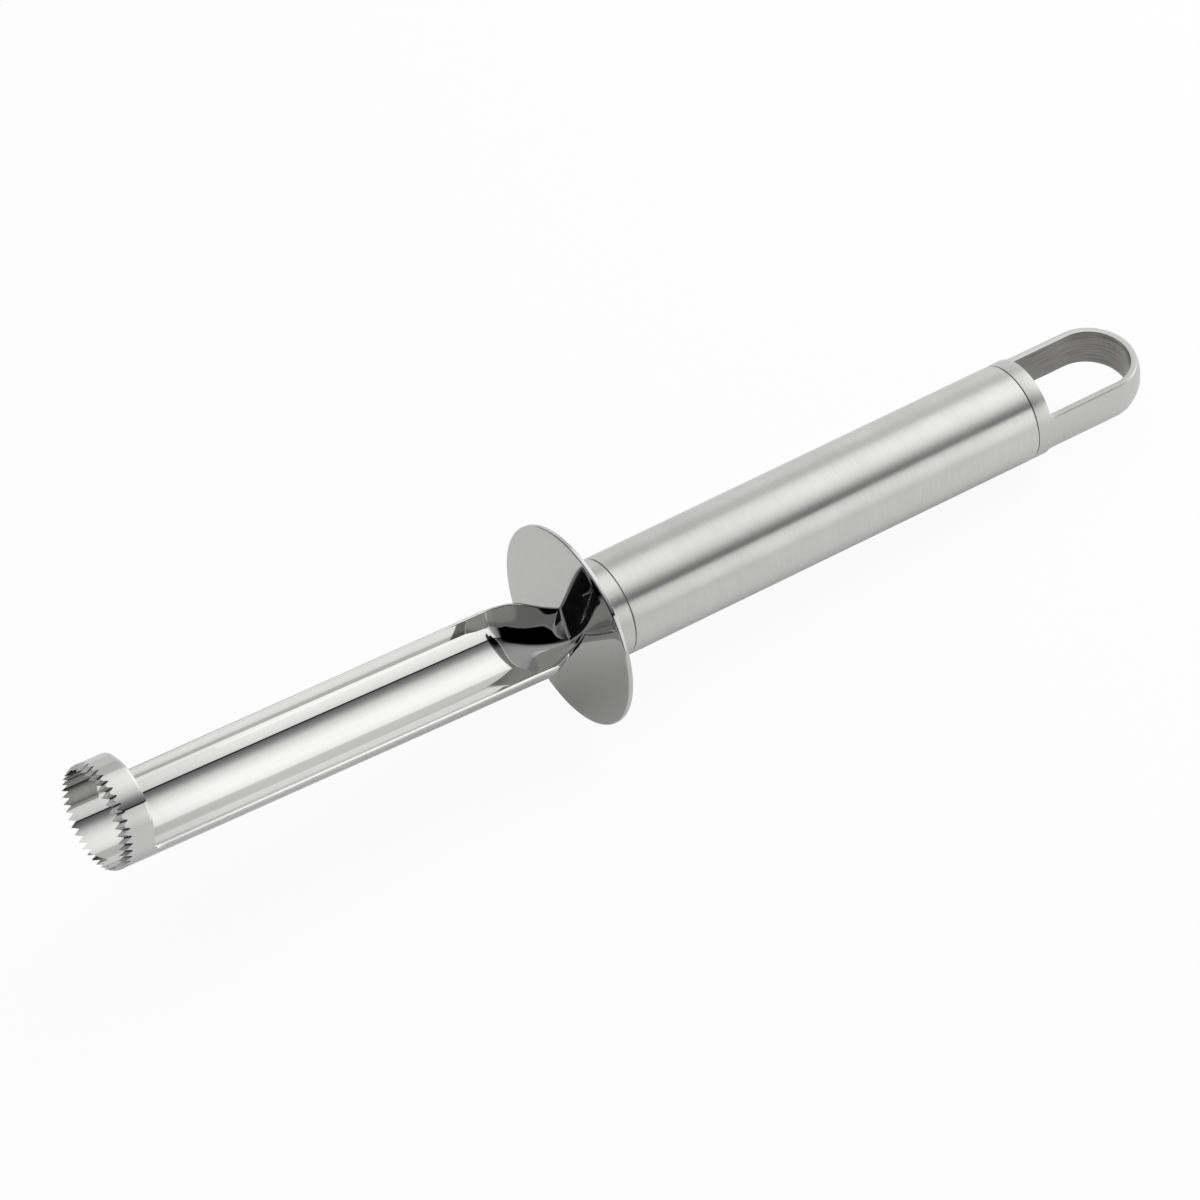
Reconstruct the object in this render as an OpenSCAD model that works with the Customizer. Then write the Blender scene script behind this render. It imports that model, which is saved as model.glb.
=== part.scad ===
// Apple corer: a toothed half-open tube on a round guard disc, a tubular handle and a hanging loop.
// The handle axis is X and points to the loop. The open side of the blade faces up, along Z.
// The origin is the middle of the handle sleeve, on its axis. Sizes are millimetres.

/* [Handle] */
// Outside diameter of the handle, its ferrule and its end cap
handle_d = 20.5; // [19:0.1:24]
// Length of the handle sleeve between its two seams
sleeve_l = 97.3; // [70:0.1:130]
// Wall of the handle sleeve
sleeve_wall = 1; // [0.8:0.1:1.4]
// Length of the front ferrule that shows between the disc and the seam
ferrule_l = 8.1; // [6:0.1:14]
// Wall of the front ferrule
ferrule_wall = 2; // [1.8:0.1:2.6]
// Thickness of the ferrule's closed front
ferrule_floor = 1.5; // [1:0.1:3]
// Length of the spigots that hold the sleeve at both ends
spigot_l = 7; // [4:0.1:10]
// Open width of the two seams, at the surface of the handle
seam_gap = 0.15; // [0.1:0.05:0.3]
// Rounding of the edges at the seams
seam_edge = 0.12; // [0.05:0.01:0.3]

/* [End cap and hanging loop] */
// Length of the round part of the end cap
cap_l = 3.2; // [2.4:0.1:6]
// Length of the loop's straight sides
loop_straight = 16.9; // [10:0.1:30]
// Height of the loop's strap, across its flat sides
loop_h = 8.4; // [5:0.1:11]
// Half the width of the hole in the loop
loop_inner_r = 8; // [6.5:0.1:8.2]
// Rounding where the strap meets the round part of the cap
loop_root_r = 0.9; // [0.4:0.1:1.4]
// Step from the round part of the cap down to the strap's outer side
loop_inset = 0.2; // [0.1:0.05:0.4]
// Chamfer along the strap's outer edges
loop_edge = 0.2; // [0.15:0.05:0.8]
// Wall of the end cap's spigot
cap_spigot_wall = 1.6; // [1:0.1:3]

/* [Guard disc] */
// Diameter of the guard disc
disc_d = 42; // [32:0.1:50]
// Thickness of the guard disc
disc_t = 1; // [0.8:0.1:1.6]
// Rounding of the guard disc's rim
disc_edge = 0.3; // [0.1:0.05:0.35]

/* [Blade] */
// Outside diameter of the blade tube
tube_d = 21.4; // [19.5:0.1:24]
// Thickness of the blade's steel sheet
sheet_t = 0.7; // [0.5:0.05:0.75]
// Length of the closed cutting ring, from the tooth tips to its rear edge
ring_l = 7.6; // [6:0.1:14]
// Length of the open trough, from the ring to the crease where the blade is pinched
trough_l = 89.5; // [60:0.1:120]
// Drop of the trough's rims below the tube's axis, behind the ring
rim_drop = 2.9; // [1:0.05:4]
// Rise of the rims between the ring and the crease
rim_lift = 0.6; // [0:0.05:0.9]
// Corner radius of the opening behind the cutting ring
window_r = 1.6; // [0.6:0.1:3]
// Tilt of the blade tube against the handle, tip up, in degrees
blade_tilt = 2.6; // [0:0.1:4]
// Height of the tube's axis above the handle axis, at the crease
tube_rise = 5.05; // [3:0.05:6.5]

/* [Neck] */
// Length of the pinched neck, from the crease to the guard disc
neck_l = 11.3; // [8:0.1:18]
// Width of the neck's V at the guard disc, over its rims
neck_w = 8.8; // [8:0.1:9.6]
// Height of the V's rims above the handle axis at the guard disc
neck_rim_z = 2.75; // [1:0.05:4]
// Depth of the V's fold below the handle axis at the guard disc
neck_keel_z = 3.3; // [2:0.1:4]
// Sideways offset of the V at the guard disc
neck_side = -1.5; // [-1.5:0.1:1.5]
// Swell of the rims above a straight line between the crease and the disc
neck_hump = 1.05; // [0:0.05:1.5]
// Inside radius of the fold
fold_r = 0.3; // [0.25:0.05:0.35]
// Length of the tang behind the disc's front face
tang_l = 27; // [20:0.5:40]

/* [Teeth] */
// Number of teeth round the cutting ring
tooth_count = 40; // [30:1:48]
// Depth of the V notches between the teeth, along the tube
notch_depth = 1.4; // [0.8:0.05:1.6]
// Length of the bevel round the outside of the ring, which sharpens the teeth towards the bore
bevel_l = 1.4; // [0.8:0.05:2]
// Width of the flat that is left along the ridge of each tooth
tip_land = 0.12; // [0.08:0.01:0.3]

/* [Fits] */
// Clearance between a spigot and the sleeve round it, on the radius
spigot_clear = 0.05; // [0.03:0.01:0.1]
// Clearance between the tang and the slots that it passes through
slot_clear = 0.1; // [0.05:0.01:0.15]
// Length of the plug that holds the tang
plug_l = 16; // [10:0.5:24]

/* [Hidden] */

round_fn = 96;
overlap = 0.3;
hair = 0.02;

handle_r = handle_d / 2;
tube_r = tube_d / 2;
bore_r = tube_r - sheet_t;
mid_r = tube_r - sheet_t / 2;

// Stations along the handle axis
sleeve_x0 = -sleeve_l / 2;
sleeve_x1 = sleeve_l / 2;
ferrule_x1 = sleeve_x0 - seam_gap;
ferrule_x0 = ferrule_x1 - ferrule_l;
disc_x = ferrule_x0 - disc_t;
crease_x = disc_x - neck_l;
cap_x0 = sleeve_x1 + seam_gap;
cap_x1 = cap_x0 + cap_l;
loop_cx = cap_x1 + loop_straight;
loop_r = handle_r - loop_inset;

// Stations along the blade's own axis, where the crease is zero and the tip is negative
ring_x1 = -trough_l;
tip_x = ring_x1 - ring_l;

// Handle fits
spigot_r = handle_r - sleeve_wall - spigot_clear;
ferrule_bore_r = handle_r - ferrule_wall;
plug_r = ferrule_bore_r - spigot_clear;

// The neck is a run of sections, from the crease (share 1) to the disc (share 0)
neck_steps = 22;
half_steps = 18;
steps = 2 * half_steps;
rim_z_crease = tube_rise - rim_drop + rim_lift;
keel_z_crease = tube_rise - mid_r;
rim_angle_crease = asin((rim_lift - rim_drop) / mid_r);
rim_w_crease = mid_r * cos(rim_angle_crease);
rim_w_disc = neck_w / 2 - sheet_t / 2;

function mix(a, b, f) = a + (b - a) * f;

// Half width, rim height, fold height, middle and roundness of the mid-surface at one share of the neck
function neck_half(t) = mix(rim_w_disc, rim_w_crease, (t + sin(90 * t)) / 2);
function neck_rim(t) = mix(neck_rim_z, rim_z_crease, t) + neck_hump * pow(4 * t * (1 - t), 2);
function neck_keel(t) = mix(-neck_keel_z, keel_z_crease, t);
function neck_middle(t) = neck_side * (1 - t * t);
function neck_roundness(t) = t;

// A V with a rounded fold and an arc of the tube, both from s = -1 to 1 and both 0 at the fold
fold_flat = (fold_r + sheet_t / 2) * (neck_rim_z + neck_keel_z) / (rim_w_disc * rim_w_disc);
fold_s = fold_flat / sqrt(1 - 2 * fold_flat);
function v_height(s) = (sqrt(s * s + fold_s * fold_s) - fold_s) / (sqrt(1 + fold_s * fold_s) - fold_s);
function arc_angle(s) = -90 + s * (90 + rim_angle_crease);
function arc_width(s) = cos(arc_angle(s)) / cos(rim_angle_crease);
function arc_height(s) = (sin(arc_angle(s)) + 1) / (sin(rim_angle_crease) + 1);

// One point of the mid-surface, as [y, z], at share t of the neck
function mid_point(s, t) = [
    neck_middle(t) + neck_half(t) * mix(s, arc_width(s), neck_roundness(t)),
    neck_keel(t) + (neck_rim(t) - neck_keel(t)) * mix(v_height(s), arc_height(s), neck_roundness(t))];

// The unit normal of the mid-surface in its section, towards the open side
probe = 0.01;
function unit(v) = v / norm(v);
function mid_normal(s, t) =
    let (run = mid_point(s + probe, t) - mid_point(s - probe, t))
    unit([-run[1], run[0]]);

// A closed section of the sheet: the outside from rim to rim, then the inside back again
function sheet_section(t, wall) = [
    for (i = [0 : steps]) let (s = i / half_steps - 1) mid_point(s, t) - mid_normal(s, t) * wall / 2,
    for (i = [steps : -1 : 0]) let (s = i / half_steps - 1) mid_point(s, t) + mid_normal(s, t) * wall / 2];

// A section placed in the part's frame: it leans with the tube at the crease and stands upright at the disc
function placed(section, x, t) = [
    for (p = section)
        let (lean = blade_tilt * t, dz = p[1] - tube_rise)
        [x + dz * sin(lean), p[0], tube_rise + dz * cos(lean)]];

// The first ring is buried in the tube's wall, and the second is just clear of the tube's end
neck_rings = [
    placed(sheet_section(1, sheet_t - overlap), crease_x - overlap, 1),
    placed(sheet_section(1, sheet_t - hair), crease_x + hair, 1),
    for (i = [neck_steps - 1 : -1 : 0])
        let (t = i / neck_steps)
        placed(sheet_section(t, sheet_t - hair), disc_x - neck_l * t, t),
    placed(sheet_section(0, sheet_t - hair), disc_x + tang_l, 0)];

// Joins a list of equal closed sections into one solid
module skin(rings) {
    n = len(rings[0]);
    last = len(rings) - 1;
    sides = [
        for (r = [0 : last - 1], i = [0 : n - 1])
            [r * n + i, (r + 1) * n + i, (r + 1) * n + (i + 1) % n, r * n + (i + 1) % n]];
    // The end faces are strips of quads from rim to rim, because the section is a thin curved band
    cap = [for (i = [0 : steps - 1]) [i, i + 1, n - 2 - i, n - 1 - i]];
    far_cap = [for (f = cap) [for (k = [3 : -1 : 0]) last * n + f[k]]];
    polyhedron(points = [for (r = rings) each r], faces = concat(sides, cap, far_cap), convexity = 6);
}

// A cylinder along X from x0 to x1
module rod(x0, x1, r) {
    translate([x0, 0, 0])
        rotate([0, 90, 0])
            cylinder(r = r, h = x1 - x0, $fn = round_fn);
}

// A profile of [x, radius] points turned about the X axis
module turned(profile) {
    rotate([0, 90, 0])
        rotate_extrude($fn = round_fn)
            polygon([for (p = profile) [p[1], p[0]]]);
}

// The V-shaped slot for the tang, from x0 to x1
module tang_slot(x0, x1) {
    grown = sheet_section(0, sheet_t + 2 * slot_clear);
    rim_a = unit(grown[0] - grown[1]) * slot_clear;
    rim_b = unit(grown[steps] - grown[steps - 1]) * slot_clear;
    n = len(grown);
    at_rim_a = [0, n - 1];
    at_rim_b = [steps, steps + 1];
    outline = [
        for (i = [0 : n - 1])
            grown[i] + (search(i, at_rim_a) ? rim_a : search(i, at_rim_b) ? rim_b : [0, 0])];
    translate([x0, 0, 0])
        rotate([90, 0, 90])
            linear_extrude(height = x1 - x0)
                polygon(outline);
}

// The blade tube, with its outside bevelled at the tip
module bevelled_tube() {
    turned([
        [tip_x, bore_r],
        [tip_x, bore_r + tip_land],
        [tip_x + bevel_l, tube_r],
        [0, tube_r],
        [0, bore_r]]);
}

// One V notch, whose bottom line runs along the bevel at the notch depth
bevel_slant = atan2(bevel_l, sheet_t - tip_land);
notch_half = bore_r * sin(180 / tooth_count) - tip_land / 2;
notch_spread = notch_half / notch_depth;
notch_mouth = notch_depth + 1;
notch_reach = 3 * sheet_t;
module notch() {
    across = notch_mouth * cos(bevel_slant);
    side = notch_mouth * notch_spread;
    translate([tip_x + notch_depth, 0, bore_r + tip_land])
        rotate([0, bevel_slant - 90, 0])
            rotate([90, 0, 90])
                linear_extrude(height = 2 * notch_reach / cos(bevel_slant), center = true)
                    polygon([[0, 0], [-side, across], [side, across]]);
}

// The opening of the trough: everything above the rims, behind the cutting ring
window_steps = 8;
module window() {
    floor_z = -rim_drop;
    corner = [
        for (i = [0 : window_steps])
            let (a = 180 + 90 * i / window_steps)
            [ring_x1 + window_r * (1 + cos(a)), floor_z + window_r * (1 + sin(a))]];
    top = [[overlap, floor_z + rim_lift], [overlap, tube_d], [ring_x1, tube_d]];
    rotate([90, 0, 0])
        linear_extrude(height = 2 * tube_d, center = true)
            polygon(concat(corner, top));
}

module blade() {
    color([0.80, 0.81, 0.82]) {
        translate([crease_x, 0, tube_rise])
            rotate([0, blade_tilt, 0])
                difference() {
                    bevelled_tube();
                    window();
                    for (i = [0 : tooth_count - 1])
                        rotate([360 * i / tooth_count, 0, 0])
                            notch();
                }
        skin(neck_rings);
    }
}

module guard_disc() {
    r = disc_d / 2;
    color([0.75, 0.76, 0.77])
        difference() {
            turned([
                [disc_x, 0],
                [disc_x, r - disc_edge],
                [disc_x + disc_edge, r],
                [disc_x + disc_t - disc_edge, r],
                [disc_x + disc_t, r - disc_edge],
                [disc_x + disc_t, 0]]);
            tang_slot(disc_x - overlap, disc_x + disc_t + overlap);
        }
}

module front_ferrule() {
    color([0.72, 0.72, 0.71])
        difference() {
            turned([
                [ferrule_x0, 0],
                [ferrule_x0, handle_r],
                [ferrule_x1 - seam_edge, handle_r],
                [ferrule_x1, handle_r - seam_edge],
                [ferrule_x1, spigot_r],
                [sleeve_x0 + spigot_l, spigot_r],
                [sleeve_x0 + spigot_l, ferrule_bore_r],
                [ferrule_x0 + ferrule_floor, ferrule_bore_r],
                [ferrule_x0 + ferrule_floor, 0]]);
            tang_slot(ferrule_x0 - overlap, ferrule_x0 + ferrule_floor + overlap);
        }
}

module tang_plug() {
    x0 = ferrule_x0 + ferrule_floor;
    color([0.45, 0.46, 0.47])
        difference() {
            rod(x0, x0 + plug_l, plug_r);
            tang_slot(x0 - overlap, x0 + plug_l + overlap);
        }
}

module handle_sleeve() {
    inner_r = handle_r - sleeve_wall;
    color([0.70, 0.70, 0.69])
        turned([
            [sleeve_x0, inner_r],
            [sleeve_x0, handle_r - seam_edge],
            [sleeve_x0 + seam_edge, handle_r],
            [sleeve_x1 - seam_edge, handle_r],
            [sleeve_x1, handle_r - seam_edge],
            [sleeve_x1, inner_r]]);
}

// The side view of the cap and loop: full height at the cap, then the strap, with rounded roots
root_steps = 8;
module cap_side() {
    half = loop_h / 2;
    far = loop_cx + handle_d;
    root = [
        for (i = [0 : root_steps])
            let (a = 180 + 90 * i / root_steps)
            [cap_x1 + loop_root_r * (1 + cos(a)), half + loop_root_r * (1 + sin(a))]];
    upper = concat([[cap_x0, handle_d], [cap_x1, handle_d]], root, [[far, half]]);
    lower = [for (i = [len(upper) - 1 : -1 : 0]) [upper[i][0], -upper[i][1]]];
    rotate([90, 0, 0])
        linear_extrude(height = 2 * handle_d, center = true)
            polygon(concat(upper, lower));
}

// The room that the strap may fill: its section with chamfered outer edges, run straight and round the end
module strap_room() {
    half = loop_h / 2;
    edge_in = sqrt(loop_r * loop_r - half * half) - loop_edge;
    edge_z = half - loop_edge;
    edge_out = sqrt(loop_r * loop_r - edge_z * edge_z);
    far_z = edge_z - (handle_r - edge_out) * loop_edge / (edge_out - edge_in);
    section = [
        [0, -half],
        [edge_in, -half],
        [handle_r, -far_z],
        [handle_r, far_z],
        [edge_in, half],
        [0, half]];
    root_x = cap_x1 + loop_root_r;
    translate([cap_x0, -handle_d, -handle_d])
        cube([root_x - cap_x0, 2 * handle_d, 2 * handle_d]);
    for (side = [0, 180])
        rotate([side, 0, 0])
            translate([root_x, 0, 0])
                rotate([90, 0, 90])
                    linear_extrude(height = loop_cx - root_x)
                        polygon(section);
    translate([loop_cx, 0, 0])
        rotate_extrude($fn = round_fn)
            polygon(section);
}

module end_cap() {
    bore = spigot_r - cap_spigot_wall;
    color([0.72, 0.72, 0.71]) {
        difference() {
            intersection() {
                union() {
                    turned([
                        [cap_x0, 0],
                        [cap_x0, handle_r - seam_edge],
                        [cap_x0 + seam_edge, handle_r],
                        [cap_x1, handle_r],
                        [cap_x1, loop_r],
                        [loop_cx, loop_r],
                        [loop_cx, 0]]);
                    translate([loop_cx, 0, 0])
                        sphere(r = loop_r, $fn = round_fn);
                }
                cap_side();
                strap_room();
            }
            translate([cap_x1, -loop_inner_r, -handle_d])
                cube([loop_straight, 2 * loop_inner_r, 2 * handle_d]);
            translate([loop_cx, 0, -handle_d])
                cylinder(r = loop_inner_r, h = 2 * handle_d, $fn = round_fn);
        }
        difference() {
            rod(sleeve_x1 - spigot_l, cap_x0 + overlap, spigot_r);
            rod(sleeve_x1 - spigot_l - overlap, cap_x0, bore);
        }
    }
}

blade();
guard_disc();
front_ferrule();
tang_plug();
handle_sleeve();
end_cap();
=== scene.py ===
"""An apple corer of polished and satin steel, dressed for a studio picture.

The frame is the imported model. Its axes are the part's own: X along the handle to the hanging loop,
Z towards the open side of the blade, and the origin in the middle of the handle sleeve.
Lengths are metres. The blade, the guard disc and the end cap get finer pieces that stand for their
solids, and the ferrule, the sleeve and the plug keep their solids and get their finish here.
"""

import math

import bmesh
import bpy
import numpy as np
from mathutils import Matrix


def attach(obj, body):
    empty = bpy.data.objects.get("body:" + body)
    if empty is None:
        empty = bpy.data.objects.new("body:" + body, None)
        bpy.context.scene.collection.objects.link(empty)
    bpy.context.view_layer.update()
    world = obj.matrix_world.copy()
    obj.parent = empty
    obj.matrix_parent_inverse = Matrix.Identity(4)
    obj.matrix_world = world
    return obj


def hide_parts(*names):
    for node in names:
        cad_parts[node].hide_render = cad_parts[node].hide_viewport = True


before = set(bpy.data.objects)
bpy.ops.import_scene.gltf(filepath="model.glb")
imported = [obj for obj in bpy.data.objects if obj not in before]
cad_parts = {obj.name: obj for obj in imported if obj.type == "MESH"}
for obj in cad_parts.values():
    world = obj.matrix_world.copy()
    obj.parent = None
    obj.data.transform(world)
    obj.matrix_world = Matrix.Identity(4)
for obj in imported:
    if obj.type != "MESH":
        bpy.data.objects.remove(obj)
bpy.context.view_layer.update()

bl_info = {
    "name": "Apple corer",
    "version": (1, 0, 0),
    "blender": (4, 5, 0),
    "location": "View3D > Sidebar > Apple corer",
    "description": "Builds a steel apple corer with a toothed blade, a guard disc and a hanging loop",
    "category": "Add Mesh",
}

MM = 0.001
BODY = "root"
WELD = 0.002 * MM
ON_WALL = 5 * WELD  # a face whose middle is nearer to a wall than this is part of it


def length(label, text, default, low=0.0, high=1.0):
    """A length property in metres, from a default in millimetres."""
    return bpy.props.FloatProperty(
        name=label, description=text, default=default * MM, min=low, max=high, precision=5, unit="LENGTH")


def number(label, text, default, low=0.0, high=10.0):
    """A plain number property."""
    return bpy.props.FloatProperty(name=label, description=text, default=default, min=low, max=high)


def angle(label, text, degrees):
    """An angle property, from a default in degrees."""
    return bpy.props.FloatProperty(
        name=label, description=text, default=math.radians(degrees), unit="ROTATION")


def colour(label, text, default):
    """A colour property of three linear shares."""
    return bpy.props.FloatVectorProperty(
        name=label, description=text, default=default, size=3, min=0.0, max=1.0, subtype="COLOR")


class CorerBlade(bpy.types.PropertyGroup):
    """Sizes of the blade: its ring and teeth, the trough, the crease and the pinched neck"""
    tube_d: length("Tube diameter", "Outside diameter of the blade tube", 21.4)
    sheet_t: length("Sheet", "Thickness of the blade's steel", 0.7)
    ring_l: length("Ring length", "Length of the closed ring that carries the teeth", 7.6)
    trough_l: length("Trough length", "Length of the half-open tube", 89.5)
    rim_drop: length("Rim drop", "Drop of the rims below the tube's axis, at the ring", 2.9)
    rim_lift: length("Rim lift", "Rise of the rims from the ring to the crease", 0.6)
    window_r: length("Opening corner", "Corner radius of the opening behind the ring", 1.6)
    rim_round: length("Rim rounding", "How far the polished rim swells past the flat of the sheet", 0.16)
    tilt: angle("Tilt", "Tilt of the tube against the handle, tip up", 2.6)
    tube_rise: length("Tube rise", "Height of the tube's axis above the handle axis, at the crease", 5.05)
    crease_x: length("Crease", "Place of the crease along the handle axis", -69.2, -1.0)
    crease_round: length("Crease rounding", "Half the length over which the crease is bent", 0.14)
    neck_l: length("Neck length", "Length of the pinched neck", 11.3)
    neck_half: length(
        "Neck half width", "Half the width of the V at the disc, to the middle of the sheet", 4.05)
    neck_rim_z: length("Neck rim height", "Height of the V's rims at the disc", 2.75, -1.0)
    neck_keel_z: length("Neck fold depth", "Depth of the V's fold at the disc", 3.3)
    neck_side: length("Neck offset", "Sideways place of the V at the disc", -1.5, -1.0)
    neck_hump: length("Neck hump", "Swell of the rims along the neck", 1.05)
    crease_skew: length("Crease skew", "How much further back the crease lies on the near wall", 2.2)
    soft_far: length("Far bend", "Length of the soft bend of the far rim, on each side of the crease", 2.5)
    skew_from: number(
        "Skew from", "Share across the sheet where the near wall's skew starts", -0.2, low=-1.0)
    skew_to: number("Skew to", "Share across the sheet where the skew is full", 0.4, low=-1.0)
    fold_shift: number(
        "Fold shift", "How far to the far side the fold starts at the crease, as a share", 0.5)
    fold_r: length("Fold radius", "Inside radius of the V's fold", 0.3)
    tooth_count: bpy.props.IntProperty(
        name="Teeth", description="Number of teeth round the ring", default=40, min=20, max=60)
    notch_depth: length("Notch depth", "Depth of the notches along the tube", 1.4)
    bevel_l: length("Bevel length", "Length of the ground bevel outside the teeth", 1.4)
    tip_land: length("Ridge flat", "Width of the flat along the ridge of each tooth", 0.1)
    notch_spread: number("Notch spread", "How much the notches differ in depth, as a share", 0.05)


class CorerHandle(bpy.types.PropertyGroup):
    """Sizes of the guard disc, the end cap and the hanging loop"""
    disc_r: length("Disc radius", "Radius of the guard disc", 21.0)
    disc_x: length("Disc place", "Front face of the guard disc along the handle axis", -57.9, -1.0)
    disc_t: length("Disc thickness", "Thickness of the guard disc", 1.0)
    disc_round: length("Disc rim rounding", "Rounding of the guard disc's rim", 0.3)
    handle_r: length("Handle radius", "Outside radius of the handle", 10.25)
    seam_edge: length("Seam edge", "Rounding of the edges at the seams", 0.12)
    spigot_r: length("Spigot radius", "Radius of the spigot inside the sleeve", 9.2)
    spigot_l: length("Spigot length", "Length of the spigot inside the sleeve", 7.1)
    cap_x: length("Cap place", "Front of the end cap along the handle axis", 48.75)
    cap_l: length("Cap length", "Length of the round part of the end cap", 3.25)
    loop_x: length("Loop end centre", "Centre of the loop's round end along the handle axis", 68.9)
    loop_h: length("Loop height", "Height of the loop's strap", 8.4)
    loop_inner_r: length("Loop inner radius", "Half the width of the hole in the loop", 8.0)
    loop_inset: length("Loop step", "Step from the cap down to the strap's outside", 0.06)
    loop_root_r: length("Loop root", "Rounding where the strap leaves the cap", 0.9)
    loop_edge: length("Loop chamfer", "Chamfer along the strap's outer edges", 0.22)
    loop_soft: length("Loop soft edge", "Rounding of the strap's inner edges", 0.12)


class CorerFinish(bpy.types.PropertyGroup):
    """Colours of the steel, the plug and the floor, and of the painted shade and highlight on the steel"""
    polished: colour("Polished steel", "Colour of the polished steel", (0.71, 0.71, 0.705))
    polished_shade: colour(
        "Polished steel, shade", "Its darker tone, where the polish is worn", (0.66, 0.66, 0.655))
    # The disc's tone, lower than the polished steel's, is painted shade that darkens its reflection; its
    # duller polish is its higher roughness.
    plate: colour("Disc steel", "Colour of the guard disc, a duller polish", (0.59, 0.59, 0.585))
    plate_shade: colour("Disc steel, shade", "Its darker tone", (0.54, 0.54, 0.535))
    satin: colour("Satin steel", "Colour of the satin steel", (0.69, 0.688, 0.682))
    satin_shade: colour("Satin steel, shade", "Colour between the brush lines", (0.585, 0.583, 0.577))
    cast: colour("Cast steel", "Colour of the cast end cap", (0.62, 0.618, 0.612))
    cast_shade: colour("Cast steel, shade", "Colour in the grain of the casting", (0.52, 0.518, 0.512))
    # Inside the hanging loop: darker partly as the unbrushed casting and partly as painted shade for the
    # shade in its hole.
    painted_shade_inside: colour(
        "Raw steel", "Colour inside the hanging loop, which stays as it was cast", (0.36, 0.356, 0.348))
    painted_shade_inside_dark: colour("Raw steel, shade", "Its darker tone", (0.18, 0.178, 0.173))
    # Painted shade: the feet of the notches are coloured near black for the shade that falls in them.
    foot: colour(
        "Notch foot", "Colour at the foot of the notches, which the grinding leaves dark", (0.1, 0.1, 0.1))
    # Painted shade: the top of the ring's bore is coloured darker for the shade inside the tube.
    bore: colour(
        "Bore steel", "Colour inside the ring's top, where the polish doesn't reach", (0.36, 0.36, 0.355))
    bore_shade: colour("Bore steel, shade", "Its darker tone", (0.28, 0.28, 0.275))
    # Painted highlight: a lighter strip inside the trough under the far rim, for the bright reflection there.
    bright: colour("Bright steel", "Colour of the higher polish under the far rim", (0.79, 0.79, 0.785))
    resin: colour("Resin", "Colour of the plug inside the handle", (0.25, 0.25, 0.26))
    floor: colour("Floor", "Colour of the studio floor", (0.95, 0.95, 0.95))


class CorerStage(bpy.types.PropertyGroup):
    """The camera, the floor, the light tent, the dark card and the lamp"""
    eye: bpy.props.FloatVectorProperty(
        name="Camera place", description="Where the camera stands", default=(-0.6622, -0.8461, 1.0685),
        size=3, unit="LENGTH", precision=4)
    turn: bpy.props.FloatVectorProperty(
        name="Camera turn", description="The camera's turn about X, Y and Z",
        default=(0.775015, -0.020044, -0.605693), size=3, subtype="EULER", precision=5)
    lens: bpy.props.FloatProperty(
        name="Lens", description="Focal length of the camera, in millimetres", default=231.387, unit="CAMERA")
    floor_lean: angle(
        "Floor lean", "Lean of the floor against the handle, on which disc and loop rest", 4.85)
    floor_gap: length("Floor gap", "Gap between the disc's rim and the floor", 0.05)
    tent_r: length("Tent radius", "Radius of the light tent round the handle axis", 700.0)
    tent_l: length("Tent length", "Length of the light tent", 3200.0, high=10.0)
    tent_light: number("Tent light", "Strength of the light tent", 1.0)
    tent_dark: length("Tent dark", "Half the width of the soft edge of the tent's dark corner", 100.0)
    tent_edge: length(
        "Tent dark edge", "Place of the dark corner's edge along the handle axis", -200.0, -1.0)
    tent_dim: number("Tent dim", "Share of the light that the tent gives over the blade", 0.3)
    tent_full: length("Tent full", "Where the tent reaches its full light, towards the hanging loop", 200.0)
    card_x: length("Dark card", "Place of the dark card beyond the toothed tip", -1100.0, -5.0)
    tent_bright: length(
        "Tent bright", "Where the tent starts to be brighter, towards the hanging loop", 480.0)
    lamp_power: number("Lamp power", "Power of the soft lamp over the floor, in watts", 2.6, high=100.0)
    tent_end: number("Tent end", "How much brighter the tent is there", 1.8)
    floor_white: number("Floor white", "How much of the floor is plain white to the camera", 0.93)
    floor_mirror: number("Floor in the steel", "How much of that plain white the steel mirrors", 0.18)


# Meshes: a shape is a set of patches, each a grid of points with its faces, welded where they meet.
# "Tube's frame" means X along the blade tube from the crease and Z to its open side; a share across
# the sheet runs from -1 at the near rim over 0 in the middle to 1 at the far rim.

CORNER_ROWS = 14    # rows of the trough round the corner of the opening
TROUGH_ROWS = 90    # rows from there to the last run before the crease
LAST_RUN = 2 * MM   # length of the last run, where the rows lie closer together
LAST_ROWS = (1.2, 0.8, 0.5, 0.35, 0.25, 0.18, 0.0)  # their distances from the crease, in millimetres
CREASE_ROWS = 7     # rows of the bend in the crease
NECK_FIRST = (1.0, 0.988, 0.98, 0.97)    # shares of the neck's first rows, 1 at the crease and 0 at the disc
NECK_LAST = (-0.06, -0.14, -0.2)         # shares of the rows inside the disc
NECK_EVEN = 0.955   # share of the first of the even rows between them
NECK_ROWS = 64      # number of the even rows
HUMP_POWER = 1.5    # draws the swell of the neck's rims towards the crease
FOLD_POWER = 1.2    # how fast the fold moves to the middle of the neck
BEND_CLEAR = 1.3    # rows nearer to the crease than this many half bends are left out
SKEW_FADE = 20 * MM     # length of trough over which the crease's skew fades out
TRUE_TUBE = 22 * MM     # farther than this from the crease the trough is an exact tube
FAR_BEND = (0.35, 0.95)     # shares across the sheet between which the far rim's soft bend grows
HALF_COLUMNS = 44   # steps across half the sheet
RIM_COLUMN = 0.992  # the extra column next to each rim
TOP_COLUMNS = 121   # columns over the top of the ring
RING_ROWS = 9       # rows along the ring
RING_CLOSER = 1.3   # power that draws the ring's rows together at the teeth
RING_GAP = 0.5 * MM     # the last of them lies this far before the opening
TOOTH_SEED = 7
DISC_RINGS, DISC_STEPS = 12, 256
CAP_STEPS = 192
EDGE_ROWS = 7       # points round each edge of the disc
STRAP_ROWS, STRAP_STEPS = 15, 65
ROOT_ROWS, RUN_ROWS = 9, 8
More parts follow.
